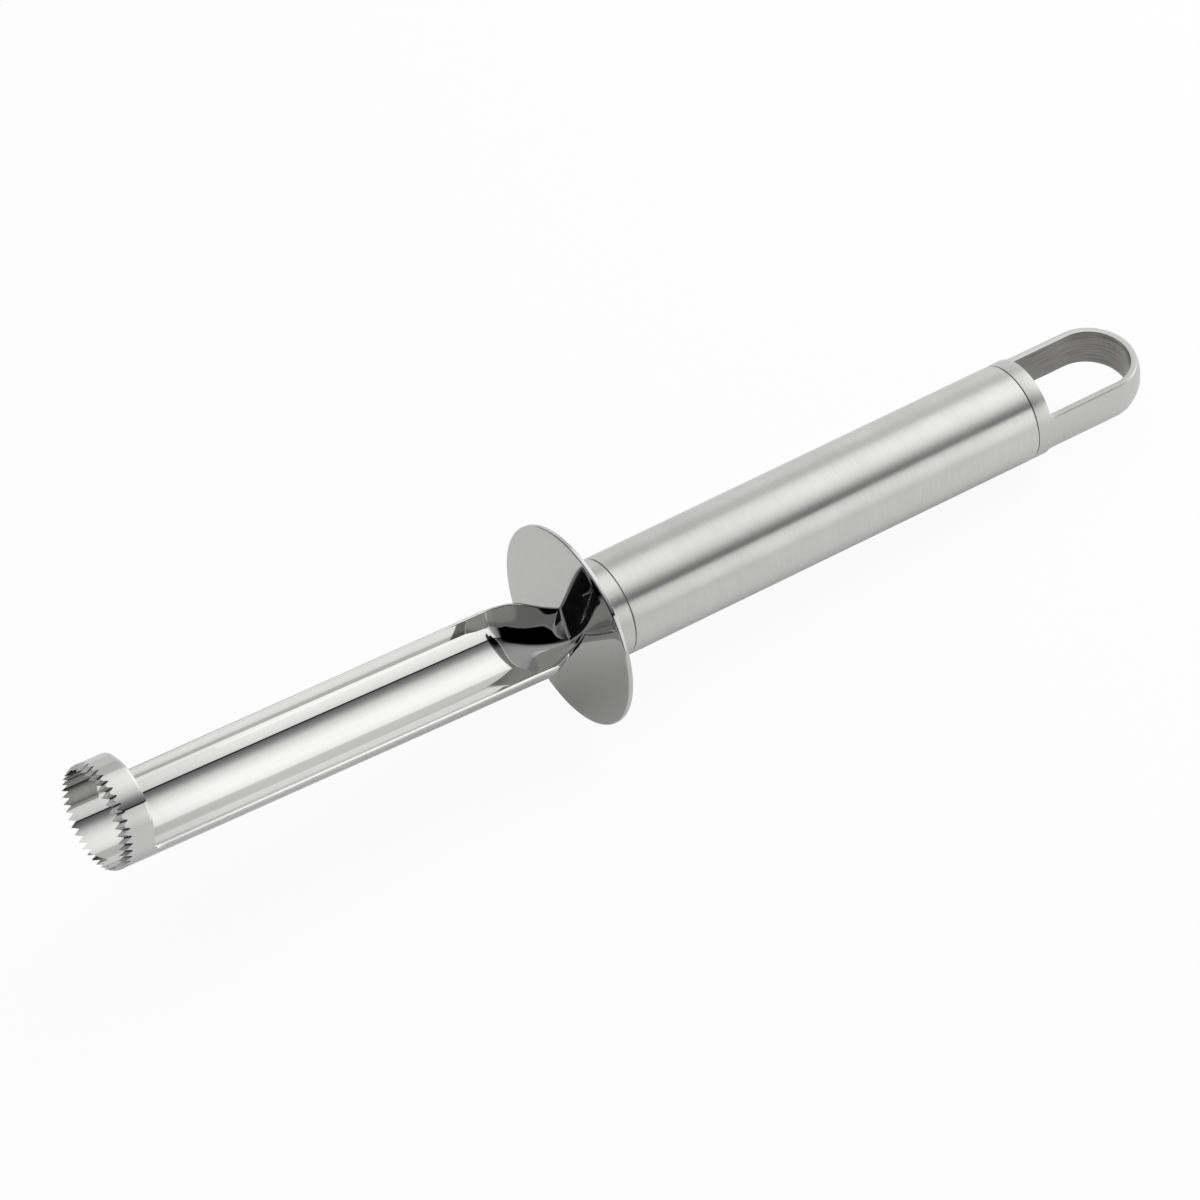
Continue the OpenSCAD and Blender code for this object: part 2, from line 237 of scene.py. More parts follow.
STRAP_SUNK = 0.5 * MM   # how far the strap starts inside the cap
STRAP_SHARP = 24.0  # degrees above which an edge of the cap and its loop stays sharp
TINY = 1e-12


def grid_faces(rows, cols):
    """The quads of a grid whose points are numbered row by row."""
    first = (np.arange(rows - 1)[:, None] * cols + np.arange(cols - 1)[None, :]).ravel()
    return np.stack([first, first + 1, first + cols + 1, first + cols], axis=1)


def patch(points):
    """A patch from an array of rows x columns x 3."""
    rows, cols = points.shape[:2]
    return points.reshape(-1, 3), grid_faces(rows, cols)


def zipper(row_a, key_a, row_b, key_b):
    """Triangles between two rows of points whose keys run over the same range: each step takes the next key
    of either row, and its triangle joins the step's two ends to the last point of the other row."""
    keys = np.concatenate([key_a[1:], key_b[1:]])
    from_a = (np.arange(len(keys)) < len(key_a) - 1)[np.argsort(keys, kind="stable")]
    at_a = np.cumsum(from_a) - from_a
    at_b = np.cumsum(~from_a) - ~from_a
    shift = len(row_a)
    ahead = np.where(from_a, at_a + 1, shift + at_b + 1)
    return np.concatenate([row_a, row_b]), np.stack([at_a, ahead, shift + at_b], axis=1)


def weld(name, patches, sharp_degrees=35.0):
    """One closed mesh from patches: their borders merged, faces turned outwards, smooth up to an angle."""
    points, faces, start = [], [], 0
    for verts, quads in patches:
        points.append(verts)
        faces.extend((quads + start).tolist())
        start += len(verts)
    mesh = bpy.data.meshes.new(name)
    mesh.from_pydata(np.concatenate(points).tolist(), [], faces)
    work = bmesh.new()
    work.from_mesh(mesh)
    bmesh.ops.remove_doubles(work, verts=[v for v in work.verts if v.is_boundary], dist=WELD)
    bmesh.ops.dissolve_degenerate(work, edges=work.edges, dist=WELD / 4)
    bmesh.ops.recalc_face_normals(work, faces=work.faces)
    work.to_mesh(mesh)
    work.free()
    mesh.shade_smooth()
    mesh.set_sharp_from_angle(angle=math.radians(sharp_degrees))
    piece = bpy.data.objects.new(name, mesh)
    bpy.context.scene.collection.objects.link(piece)
    return piece


def place(piece, material, node):
    """Gives a piece its material, body and slot, and hides the solid that it stands for."""
    piece.data.materials.append(material)
    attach(piece, BODY)
    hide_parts(node)


def face_centres(mesh):
    """The x, y and z of the middle of each face."""
    centres = np.empty(len(mesh.polygons) * 3, np.float32)
    mesh.polygons.foreach_get("center", centres)
    return centres.reshape(-1, 3).T


def write_mark(mesh, name, inside):
    """A mark of 0 or 1 on each face of a mesh, which its material reads."""
    mesh.attributes.new(name, "FLOAT", "FACE").data.foreach_set("value", inside.astype(np.float32))


def unit(vectors):
    """Vectors scaled to length one, along the last axis."""
    return vectors / np.maximum(np.linalg.norm(vectors, axis=-1, keepdims=True), TINY)


def mix(a, b, share):
    """The value between a and b at a share: a + (b - a) * share."""
    return a + (b - a) * share


def parabola(a, b, c, q):
    """A curve from a to c that heads for b from both ends: (1 - q)^2 a + 2 q (1 - q) b + q^2 c."""
    return (1 - q) ** 2 * a + 2 * q * (1 - q) * b + q ** 2 * c


def revolve(profile, steps):
    """A profile of (x, radius) points turned once round the X axis: (x, radius cos turn, radius sin turn)."""
    turn = np.linspace(0.0, 2.0 * np.pi, steps + 1)
    x, r = profile[:, 0], profile[:, 1]
    return np.stack([
        np.broadcast_to(x[:, None], (len(x), steps + 1)),
        r[:, None] * np.cos(turn),
        r[:, None] * np.sin(turn)], axis=-1)


def tube_radii(blade):
    """Radii of the blade tube: its outside, the middle of its sheet, and its bore."""
    outer = blade.tube_d / 2
    return outer, outer - blade.sheet_t / 2, outer - blade.sheet_t


def ring_rear(blade):
    """The ring's rear edge in the tube's frame, one rim rounding inside the real edge."""
    return -blade.trough_l - blade.rim_round


def in_tube(blade, points):
    """Points of the tube's frame set in the part's frame: turned by the tilt, and moved to the crease."""
    c, s = math.cos(blade.tilt), math.sin(blade.tilt)
    x, y, z = points[..., 0], points[..., 1], points[..., 2]
    return np.stack([blade.crease_x + x * c + z * s, y, blade.tube_rise - x * s + z * c], axis=-1)


def around(x, degrees, radius):
    """Points of the tube's frame at places x and at angles from the bottom of the trough:
    (x, radius sin angle, -radius cos angle)."""
    a = np.radians(degrees)
    x, a = np.broadcast_arrays(x, a)
    return np.stack([x, radius * np.sin(a), -radius * np.cos(a)], axis=-1)


def rim_line(blade):
    """Places and heights of the rim in the tube's frame: a quarter circle about (cx, cz) at the ring, then a
    straight line that rises to the crease. The line lies one rim rounding inside the real edge."""
    cx, cz = blade.window_r - blade.trough_l, blade.window_r - blade.rim_drop
    r = blade.window_r + blade.rim_round
    a = np.radians(np.linspace(180.0, 270.0, CORNER_ROWS))
    bend_x, bend_z = cx + r * np.cos(a), cz + r * np.sin(a)
    run = np.concatenate([np.linspace(cx, -LAST_RUN, TROUGH_ROWS)[1:], np.array(LAST_ROWS) * -MM])
    rise = blade.rim_lift * (run - cx) / -cx
    return np.concatenate([bend_x, run]), np.concatenate([bend_z, bend_z[-1] + rise])


def across():
    """Shares across the sheet from rim to rim: k / 2 + k^3 / 2 on both sides, which lie closest at the fold,
    and one more next to each rim."""
    k = np.linspace(0.0, 1.0, HALF_COLUMNS + 1)
    half = 0.5 * k + 0.5 * k ** 3
    half = np.sort(np.concatenate([half, [RIM_COLUMN]]))
    return np.concatenate([-half[:0:-1], half])


def trough_sheet(blade, shares):
    """Middle of the trough's sheet, its outward normals and its reach: at each place an arc of the tube from
    rim to rim, whose ends lie 90 degrees plus the arc sine of height / radius from the bottom."""
    radius = tube_radii(blade)[1]
    x, z = rim_line(blade)
    reach = 90.0 + np.degrees(np.arcsin(z / radius))
    degrees = reach[:, None] * shares[None, :]
    points = in_tube(blade, around(x[:, None], degrees, radius))
    normals = points - in_tube(blade, around(x[:, None], degrees, 0.0))
    return points, unit(normals), reach


def neck_sheet(blade, shares, stations):
    """Middle of the neck's sheet. Its section is a mix of the tube's arc, all of it at share 1, and of a V
    with a rounded fold, all of it at share 0. The V's height at a distance s from its fold is the hyperbola
    root(s^2 + soft^2), and the fold moves to the middle as the share falls. The half width follows a line
    and a sine. The rims swell by the hump times (4 f (1 - f))^2, where f is the share to the hump's power.
    The middle moves aside by neck_side times (1 - share^2)."""
    t = stations[:, None]
    s = shares[None, :]
    radius = tube_radii(blade)[1]
    rim_angle = math.asin((blade.rim_lift - blade.rim_drop - blade.rim_round) / radius)
    rim_crease = blade.tube_rise - blade.rim_drop + blade.rim_lift - blade.rim_round
    rim_disc = blade.neck_rim_z - blade.rim_round
    keel_crease = blade.tube_rise - radius
    held = np.clip(t, 0.0, 1.0)
    half = mix(blade.neck_half, radius * math.cos(rim_angle), (held + np.sin(np.pi / 2 * held)) / 2)
    front = held ** HUMP_POWER
    rim = mix(rim_disc, rim_crease, held) + blade.neck_hump * (4 * front * (1 - front)) ** 2
    keel = mix(-blade.neck_keel_z, keel_crease, held)
    middle = blade.neck_side * (1 - held ** 2)
    fold = blade.fold_shift * held ** FOLD_POWER
    s = np.where(s > fold, (s - fold) / (1 - fold), (s - fold) / (1 + fold))
    flat = (blade.fold_r + blade.sheet_t / 2) * (blade.neck_rim_z + blade.neck_keel_z) / blade.neck_half ** 2
    soft = flat / math.sqrt(1 - 2 * flat)
    v_height = (np.sqrt(s ** 2 + soft ** 2) - soft) / (math.sqrt(1 + soft ** 2) - soft)
    turn = -np.pi / 2 + shares[None, :] * (np.pi / 2 + rim_angle)
    arc_width = np.cos(turn) / math.cos(rim_angle)
    arc_height = (np.sin(turn) + 1) / (math.sin(rim_angle) + 1)
    y = middle + half * mix(shares[None, :], arc_width, held)
    z = keel + (rim - keel) * mix(v_height, arc_height, held)
    lean = blade.tilt * held
    dz = z - blade.tube_rise
    x = blade.crease_x + blade.neck_l * (1 - t) + dz * np.sin(lean)
    return np.stack([x, y, blade.tube_rise + dz * np.cos(lean)], axis=-1)


def step_up(value, low, high):
    """A smooth step: 0 up to low, 1 from high on, and 3k^2 - 2k^3 between them."""
    k = np.clip((value - low) / (high - low), 0.0, 1.0)
    return k * k * (3.0 - 2.0 * k)


def at_place(points, places, wanted):
    """The point of each column of a grid at that column's wanted place, on the line between its rows."""
    row = np.clip(np.searchsorted(places, wanted) - 1, 0, len(places) - 2)
    share = (wanted - places[row]) / (places[row + 1] - places[row])
    column = np.arange(len(wanted))
    return mix(points[row, column], points[row + 1, column], share[:, None])


def ease_crease(blade, points, places, shares):
    """The crease as it runs round the sheet. On the near wall it lies crease_skew further back, which fades
    out along the trough and the neck in straight lines. At the far rim the sheet bends softly over soft_far
    to both sides of it, along a parabola from the point before to the point after that heads for the
    crease."""
    held = np.minimum(1.0 + places / SKEW_FADE, 1.0 - places / blade.neck_l).clip(0.0, 1.0)
    skew = blade.crease_skew * step_up(-shares, blade.skew_from, blade.skew_to)
    shift = np.zeros_like(points)
    shift[..., 0] = held[:, None] * skew[None, :]
    points = points + shift
    width = np.maximum(blade.soft_far * step_up(shares, *FAR_BEND), WELD)
    before, middle, after = (at_place(points, places, side * width) for side in (-1.0, 0.0, 1.0))
    q = ((places[:, None] + width[None, :]) / (2.0 * width[None, :])).clip(0.0, 1.0)[..., None]
    inside = (np.abs(places)[:, None] < width[None, :])[..., None]
    return np.where(inside, parabola(before, middle, after, q), points)


def sheet_normals(points):
    """Outward normals of a grid of points: the cross product of its slopes across and along."""
    along = np.gradient(points, axis=0)
    aside = np.gradient(points, axis=1)
    return unit(np.cross(aside, along))


def blade_sheet(blade, shares):
    """Middle, normals and first reach of the whole open sheet: the trough, the bent crease, the neck and the
    tang inside the disc. The normals come from the axis in the true tube and from the slopes elsewhere."""
    trough, trough_n, reach = trough_sheet(blade, shares)
    w = blade.crease_round
    trough_x = rim_line(blade)[0]
    keep = trough_x < -BEND_CLEAR * w
    stations = np.concatenate([NECK_FIRST, np.linspace(NECK_EVEN, 0.0, NECK_ROWS), NECK_LAST])
    stations = stations[1.0 - stations > BEND_CLEAR * w / blade.neck_l]
    neck = neck_sheet(blade, shares, stations)
    crease = trough[-1:]
    before = crease + (trough[-2:-1] - crease) * (w / (LAST_ROWS[-2] * MM))
    after = neck_sheet(blade, shares, np.array([1.0 - w / blade.neck_l]))
    bend = parabola(before, crease, after, np.linspace(0.0, 1.0, CREASE_ROWS)[:, None, None])
    points = np.concatenate([trough[keep], bend, neck])
    places = np.concatenate([
        trough_x[keep], np.linspace(-w, w, CREASE_ROWS), blade.neck_l * (1.0 - stations)])
    points = ease_crease(blade, points, places, shares)
    normals = sheet_normals(points)
    count = int(np.sum(places < -TRUE_TUBE))
    normals[:count] = trough_n[:count]
    return points, normals, reach[0]


def edge_bead(centre, normal, wall, swell, steps=9, square=0.7):
    """A rounded edge swept along a line: at each point a squarish half round from one face of the sheet to
    the other, (wall / 2 sin turn, swell cos turn) with sine and cosine to the power square, at right angles
    to the line."""
    along = np.gradient(centre, axis=0)
    out = unit(np.cross(normal, along))
    turn = np.linspace(np.pi / 2, -np.pi / 2, steps)
    up = np.sign(np.sin(turn)) * np.abs(np.sin(turn)) ** square
    over = np.abs(np.cos(turn)) ** square
    return (centre[:, None, :] + normal[:, None, :] * (wall / 2 * up)[None, :, None]
            + out[:, None, :] * (swell * over)[None, :, None])


def tooth_line(blade):
    """Angles round the ring and depth shares of its toothed edge: 0 along each ridge, 1 at the foot of each
    notch, with straight sides between. The notches differ a little in depth, by a random share of up to
    notch_spread."""
    count = blade.tooth_count
    pitch = 2 * np.pi * tube_radii(blade)[2] / count
    land = blade.tip_land / pitch / 2
    share = np.array([0.0, 0.12, 0.24, 0.36, 0.5 - land, 0.5 + land, 0.64, 0.76, 0.88])
    side = np.minimum(share, 1 - share)
    depth = np.clip(1 - side / (0.5 - land), 0.0, 1.0)
    vary = 1 + blade.notch_spread * np.random.default_rng(TOOTH_SEED).uniform(-1, 1, count)
    degrees = -180.0 + 360.0 / count * (np.arange(count)[:, None] + share[None, :])
    deep = depth[None, :] * vary[:, None]
    return np.append(degrees.ravel(), 180.0), np.append(deep.ravel(), deep[0, 0])


def over_top(reach):
    """Angles over the top of the ring, from one rim of the opening to the other."""
    return np.linspace(reach, 360.0 - reach, TOP_COLUMNS)


def ring_patches(blade, shares, reach):
    """The toothed ring: outside and bore as rows round the tube, from the toothed edge at tip + depth to the
    rear, the ground flanks between them, and the rows that meet the trough."""
    outer_r, _, inner_r = tube_radii(blade)
    tip_x = -blade.trough_l - blade.ring_l
    rear_x = ring_rear(blade)
    last_x = rear_x - RING_GAP
    degrees, depth = tooth_line(blade)
    inner_x = tip_x + blade.notch_depth * depth
    outer_x = inner_x + blade.bevel_l
    top = over_top(reach)
    top = np.where(top > 180.0, top - 360.0, top)
    meet = np.unique(np.round(np.concatenate([shares * reach, top, [180.0, -180.0]]), 7))
    rows = np.linspace(0.0, 1.0, RING_ROWS)[:, None] ** RING_CLOSER
    patches = []
    for start, radius in ((outer_x, outer_r), (inner_x, inner_r)):
        body = in_tube(blade, around(mix(start[None, :], last_x, rows), degrees[None, :], radius))
        patches.append(patch(body))
        patches.append(zipper(body[-1], degrees, in_tube(blade, around(rear_x, meet, radius)), meet))
    flanks = np.stack([
        in_tube(blade, around(inner_x, degrees, inner_r)),
        in_tube(blade, around(outer_x, degrees, outer_r))])
    patches.append(patch(flanks))
    return patches


def blade_patches(blade):
    """All patches of the blade: the ring, both faces of the open sheet half a thickness from its middle, the
    bead round its opening, and its hidden end."""
    shares = across()
    points, normals, reach = blade_sheet(blade, shares)
    half = blade.sheet_t / 2
    outer, inner = points + normals * half, points - normals * half
    top = over_top(reach)
    rear_x = ring_rear(blade)
    over = in_tube(blade, around(rear_x, top, tube_radii(blade)[1]))
    over_n = unit(over - in_tube(blade, around(rear_x, top, 0.0)))
    line = np.concatenate([points[::-1, -1], over[1:-1], points[:, 0]])
    line_n = np.concatenate([normals[::-1, -1], over_n[1:-1], normals[:, 0]])
    bead = edge_bead(line, line_n, blade.sheet_t, blade.rim_round)
    end = np.stack([outer[-1], inner[-1]])
    caps = [(bead[i], np.arange(bead.shape[1])[None, :]) for i in (0, -1)]
    return ring_patches(blade, shares, reach) + [patch(outer), patch(inner), patch(bead), patch(end)] + caps


def corner(points, steps=4):
    """A rounded corner: a parabola from the first point to the last that heads for the middle one."""
    a, b, c = (np.array(p, float) for p in points)
    return parabola(a, b, c, np.linspace(0.0, 1.0, steps)[:, None])


def disc_patches(handle):
    """The guard disc: a flat plate turned round the axis, with both edges of its rim rounded."""
    x0, x1, r, e = handle.disc_x, handle.disc_x + handle.disc_t, handle.disc_r, handle.disc_round
    rings = np.linspace(0.0, r - e, DISC_RINGS)
    front = np.stack([np.full_like(rings, x0), rings], axis=1)
    back = np.stack([np.full_like(rings, x1), rings[::-1]], axis=1)
    profile = np.concatenate([
        front[:-1],
        corner([(x0, r - e), (x0, r), (x0 + e, r)], EDGE_ROWS),
        corner([(x1 - e, r), (x1, r), (x1, r - e)], EDGE_ROWS),
        back[1:]])
    return [patch(revolve(profile, DISC_STEPS))]


def cap_patches(handle):
    """The round part of the end cap with its spigot, turned round the axis, with its edges rounded, the rear
    ones less."""
    x0, x1, r, e = handle.cap_x, handle.cap_x + handle.cap_l, handle.handle_r, handle.seam_edge
    rear = 0.4 * e
    profile = np.concatenate([
        [(x0 - handle.spigot_l, 0.0), (x0 - handle.spigot_l, handle.spigot_r), (x0, handle.spigot_r)],
        corner([(x0, r - e), (x0, r), (x0 + e, r)]),
        [(mix(x0, x1, 0.5), r)],
        corner([(x1 - rear, r), (x1, r), (x1, r - rear)]),
        [(x1, r / 2), (x1, 0.0)]])
    return [patch(revolve(profile, CAP_STEPS))]


def strap_section(handle, half_height, chamfer):
    """One closed section of the strap as (distance from the loop's middle, height): the round outside at
    root(r^2 - height^2), a chamfer, the flat top, a softened inner edge, the flat inside, and the same again
    below."""
    r = handle.handle_r - handle.loop_inset
    soft = handle.loop_soft
    edge = half_height - chamfer
    z = np.linspace(-edge, edge, STRAP_ROWS)
    outside = np.stack([np.sqrt(r ** 2 - z ** 2), z], axis=1)
    top_out = math.sqrt(r ** 2 - half_height ** 2) - chamfer
    inside = handle.loop_inner_r
    upper = corner([(inside + soft, half_height), (inside, half_height), (inside, half_height - soft)])
    lower = upper[::-1] * (1.0, -1.0)
    return np.concatenate([
        outside, [(top_out, half_height)], upper, lower, [(top_out, -half_height)], outside[:1]])


def strap_patches(handle):
    """The hanging loop: one section carried along a U, out of the cap, straight, round the end in a half
    circle and back. Where it leaves the cap its height flares along a quarter circle, and its chamfer starts
    at 0.4 of its size."""
    x1 = handle.cap_x + handle.cap_l
    root, half = handle.loop_root_r, handle.loop_h / 2
    a = np.radians(np.linspace(180.0, 270.0, ROOT_ROWS))
    root_x = x1 + root * (1 + np.cos(a))
    root_h = half + root * (1 + np.sin(a))
    share = (root_x - x1) / root
    root_c = mix(0.4, 1.0, share) * handle.loop_edge
    run_x = np.linspace(x1 + root, handle.loop_x, RUN_ROWS)[1:]
    xs = np.concatenate([[x1 - STRAP_SUNK], root_x, run_x])
    hs = np.concatenate([root_h[:1], root_h, np.full_like(run_x, half)])
    cs = np.concatenate([root_c[:1], root_c, np.full_like(run_x, handle.loop_edge)])
    side = np.stack([strap_section(handle, h, c) for h, c in zip(hs, cs)])
    far = np.stack([np.broadcast_to(xs[:, None], side.shape[:2]), side[..., 0], side[..., 1]], axis=-1)
    near = (far * (1.0, -1.0, 1.0))[::-1]
    turn = np.radians(np.linspace(0.0, 180.0, STRAP_STEPS))[1:-1, None]
    rho, z = side[-1, :, 0][None, :], side[-1, :, 1][None, :]
    bend = np.stack([
        handle.loop_x + rho * np.sin(turn),
        rho * np.cos(turn),
        np.broadcast_to(z, (len(turn), z.shape[1]))], axis=-1)
    path = np.concatenate([far, bend, near])
    ends = [(path[i, :-1], np.arange(path.shape[1] - 1)[None, :]) for i in (0, -1)]
    return [patch(path)] + ends


# Materials. A group puts out only values that change over the surface; the shaders stay in the materials.

SLOTS = ("polished_steel", "plate_steel", "brushed_steel", "cast_steel", "plug_resin")
CLOUD_SPAN = (0.35, 0.65)   # most of a soft noise lies between these values
STREAK_SPAN = (0.3, 0.7)    # and most of a rougher one between these
GROUND_METAL = 0.35     # how metallic the ground flanks are, which are too rough to mirror
POLISH_LINES = {"Fine": 5200.0, "Coarse": 900.0, "Coarse Share": 0.3}
SATIN_LINES = {"Coarse": 3600.0, "Coarse Share": 0.25, "Round": 220.0}


def add(tree, kind, **values):
    """A node, with its inputs and attributes set by name. An input is given by its name with _ for a space,
    or by its number after a _."""
    node = tree.nodes.new(kind)
    for name, value in values.items():
        if hasattr(node, name) and name not in node.inputs:
            setattr(node, name, value)
        else:
            socket = node.inputs[int(name[1:])] if name[1:].isdigit() else node.inputs[name.replace("_", " ")]
            if isinstance(value, bpy.types.NodeSocket):
                tree.links.new(value, socket)
            else:
                socket.default_value = value
    return node


def group(name, inputs, outputs):
    """An empty shader group with named float inputs and outputs, and its two end nodes."""
    tree = bpy.data.node_groups.new(name, "ShaderNodeTree")
    for label, default in inputs:
        socket = tree.interface.new_socket(name=label, in_out="INPUT", socket_type="NodeSocketFloat")
        socket.default_value = default
    for label in outputs:
        tree.interface.new_socket(name=label, in_out="OUTPUT", socket_type="NodeSocketFloat")
    return tree, tree.nodes.new("NodeGroupInput"), tree.nodes.new("NodeGroupOutput")


def math_node(tree, operation, *values):
    """One step of arithmetic on sockets or numbers."""
    inputs = {"_%d" % i: value for i, value in enumerate(values)}
    return add(tree, "ShaderNodeMath", operation=operation, **inputs).outputs[0]


def stretched_noise(tree, where, factors, detail):
    """Noise at a place whose X, Y and Z are each multiplied by a factor of their own."""
    split = add(tree, "ShaderNodeSeparateXYZ", Vector=where)
    x, y, z = (math_node(tree, "MULTIPLY", axis, factor) for axis, factor in zip(split.outputs, factors))
    at = add(tree, "ShaderNodeCombineXYZ", X=x, Y=y, Z=z).outputs[0]
    return add(tree, "ShaderNodeTexNoise", Vector=at, Scale=1.0, Detail=detail).outputs[0]


def brush_group():
    """Fine lines that run round the X axis: noise squeezed along X in two sizes, and a cloud beside it."""
    tree, given, made = group(
        "brush_lines",
        [("Fine", 9000.0), ("Coarse", 1500.0), ("Round", 60.0), ("Coarse Share", 0.4)],
        ["Lines", "Cloud"])
    where = add(tree, "ShaderNodeTexCoord").outputs["Object"]
    fine, coarse = (
        stretched_noise(tree, where, [given.outputs[label] for label in (size, "Round", "Round")], 2.0)
        for size in ("Fine", "Coarse"))
    lines = add(tree, "ShaderNodeMix", Factor=given.outputs["Coarse Share"], A=fine, B=coarse).outputs[0]
    cloud = add(tree, "ShaderNodeTexNoise", Vector=where, Scale=90.0, Detail=3.0).outputs[0]
    tree.links.new(lines, made.inputs["Lines"])
    tree.links.new(cloud, made.inputs["Cloud"])
    return tree


def grain_group():
    """The grain of a casting: noise in a small and a large size, and thin streaks that run level."""
    tree, given, made = group(
        "steel_grain", [("Small", 5000.0), ("Large", 260.0), ("Length", 120.0), ("Level", 2600.0)],
        ["Grain", "Cloud", "Streaks"])
    where = add(tree, "ShaderNodeTexCoord").outputs["Object"]
    for label, name in (("Small", "Grain"), ("Large", "Cloud")):
        noise = add(tree, "ShaderNodeTexNoise", Vector=where, Scale=given.outputs[label], Detail=3.0)
        tree.links.new(noise.outputs[0], made.inputs[name])
    factors = [given.outputs[label] for label in ("Length", "Length", "Level")]
    streaks = stretched_noise(tree, where, factors, 3.0)
    tree.links.new(streaks, made.inputs["Streaks"])
    return tree


def ramp(tree, value, low, high, to_low, to_high):
    """A value mapped from one span to another, and held to its ends."""
    return add(
        tree, "ShaderNodeMapRange", Value=value,
        From_Min=low, From_Max=high, To_Min=to_low, To_Max=to_high).outputs[0]


def blend(tree, share, a, b):
    """A colour between a and b at a share that changes over the surface."""
    node = tree.nodes.new("ShaderNodeMix")
    node.data_type = "RGBA"
    tree.links.new(share, node.inputs["Factor"])
    node.inputs["A"].default_value = (*a, 1.0)
    node.inputs["B"].default_value = (*b, 1.0)
    return next(s for s in node.outputs if s.type == "RGBA")


def blank_material(name):
    """A material without any nodes, and its tree."""
    material = bpy.data.materials.new(name)
    material.use_nodes = True
    material.node_tree.nodes.clear()
    return material, material.node_tree


def put_out(tree, shader):
    """Gives a material's tree its end node, with the shader as its surface."""
    add(tree, "ShaderNodeOutputMaterial", Surface=shader)


def metal(name, effect_tree, settings, line_share, tones, rough, bump, drawn=0.0, marks=None, ground=0.0):
    """A steel: its colour runs between two tones, its roughness between two values, and its surface rises by
    the effect's first output times a strength and a depth. With a drawn value the highlight is drawn out
    along the handle. Each mark gives two other tones where the piece's attribute of that name is set. Where
    its ground one is set, the steel is rougher by the ground value and matt."""
    material, tree = blank_material(name)
    effect = tree.nodes.new("ShaderNodeGroup")
    effect.node_tree = effect_tree
    for label, value in settings.items():
        effect.inputs[label].default_value = value
    fine, cloud = effect.outputs[0], effect.outputs["Cloud"]
    share = ramp(tree, fine, 0.5 - line_share, 0.5 + line_share, 0.0, 1.0)
    steel = add(tree, "ShaderNodeBsdfPrincipled", Metallic=1.0)
    shade = blend(tree, share, *tones)
    marked = share
    if "Streaks" in effect.outputs:
        marked = ramp(tree, effect.outputs["Streaks"], *STREAK_SPAN, 0.0, 1.0)
    for label, others in (marks or {}).items():
        mark = add(tree, "ShaderNodeAttribute", attribute_name=label).outputs["Fac"]
        other = blend(tree, marked, *others)
        shade = add(tree, "ShaderNodeMix", data_type="RGBA", _0=mark, _6=shade, _7=other).outputs[2]
    tree.links.new(shade, steel.inputs["Base Color"])
    dullness = ramp(tree, cloud, *CLOUD_SPAN, *rough)
    if ground:
        mark = add(tree, "ShaderNodeAttribute", attribute_name="ground").outputs["Fac"]
        dullness = math_node(tree, "MULTIPLY_ADD", mark, ground, dullness)
        tree.links.new(ramp(tree, mark, 0.0, 1.0, 1.0, GROUND_METAL), steel.inputs["Metallic"])
    tree.links.new(dullness, steel.inputs["Roughness"])
    rise = add(tree, "ShaderNodeBump", Strength=bump[0], Distance=bump[1], Height=fine)
    tree.links.new(rise.outputs[0], steel.inputs["Normal"])
    if drawn:
        steel.inputs["Anisotropic"].default_value = drawn
        steel.inputs["Anisotropic Rotation"].default_value = 0.25
        tangent = add(tree, "ShaderNodeTangent", direction_type="RADIAL", axis="X")
        tree.links.new(tangent.outputs[0], steel.inputs["Tangent"])
    put_out(tree, steel.outputs[0])
    return material


def steels(finish):
    """The materials of the tool, by slot name: made at the first call, and found again later."""
    if "polished_steel_finish" in bpy.data.materials:
        return {slot: bpy.data.materials[slot + "_finish"] for slot in SLOTS}
    brush, grain = brush_group(), grain_group()
    polished = metal(
        "polished_steel_finish", brush, POLISH_LINES, line_share=0.25,
        tones=(finish.polished_shade, finish.polished), rough=(0.02, 0.045), bump=(0.02, 0.01 * MM),
        # The marks paint shade inside the ring's top and at the notches' feet, and a highlight under the far
        # rim
        ground=0.26, marks={
            "painted_shade_inside": (finish.bore_shade, finish.bore),
            "bright": (finish.bright, finish.bright),
            "foot": (finish.foot, finish.foot)})
    # The disc's lower tones paint shade into its reflection
    plate = metal(
        "plate_steel_finish", brush, {**POLISH_LINES, "Round": 1100.0}, line_share=0.25,
        tones=(finish.plate_shade, finish.plate), rough=(0.04, 0.08), bump=(0.03, 0.01 * MM))
    brushed = metal(
        "brushed_steel_finish", brush, SATIN_LINES, line_share=0.25,
        tones=(finish.satin_shade, finish.satin), rough=(0.27, 0.33), bump=(0.03, 0.01 * MM), drawn=0.8)
    cast = metal(
        "cast_steel_finish", grain, {}, line_share=0.3,
        tones=(finish.cast_shade, finish.cast), rough=(0.27, 0.36), bump=(0.13, 0.03 * MM),
        # The mark darkens the loop's inside: partly its unbrushed casting, partly painted shade
        marks={"painted_shade_inside": (finish.painted_shade_inside_dark, finish.painted_shade_inside)})
    return dict(zip(SLOTS, (polished, plate, brushed, cast, resin(grain, finish.resin))))


def resin(grain, tone):
    """A dull dark resin with a little grain: its colour runs from 0.7 of the tone to the tone."""
    material, tree = blank_material("plug_resin_finish")
    dull = add(tree, "ShaderNodeBsdfPrincipled")
    effect = tree.nodes.new("ShaderNodeGroup")
    effect.node_tree = grain
    dark = tuple(0.7 * share for share in tone)
    tree.links.new(blend(tree, effect.outputs["Cloud"], dark, tone), dull.inputs["Base Color"])
    tree.links.new(ramp(tree, effect.outputs["Grain"], *STREAK_SPAN, 0.5, 0.7), dull.inputs["Roughness"])
    put_out(tree, dull.outputs[0])
    return material


# Marks, which paint shade and a highlight on the steel. Angles are degrees round the tube from the bottom
# of its bore, positive on the far side.

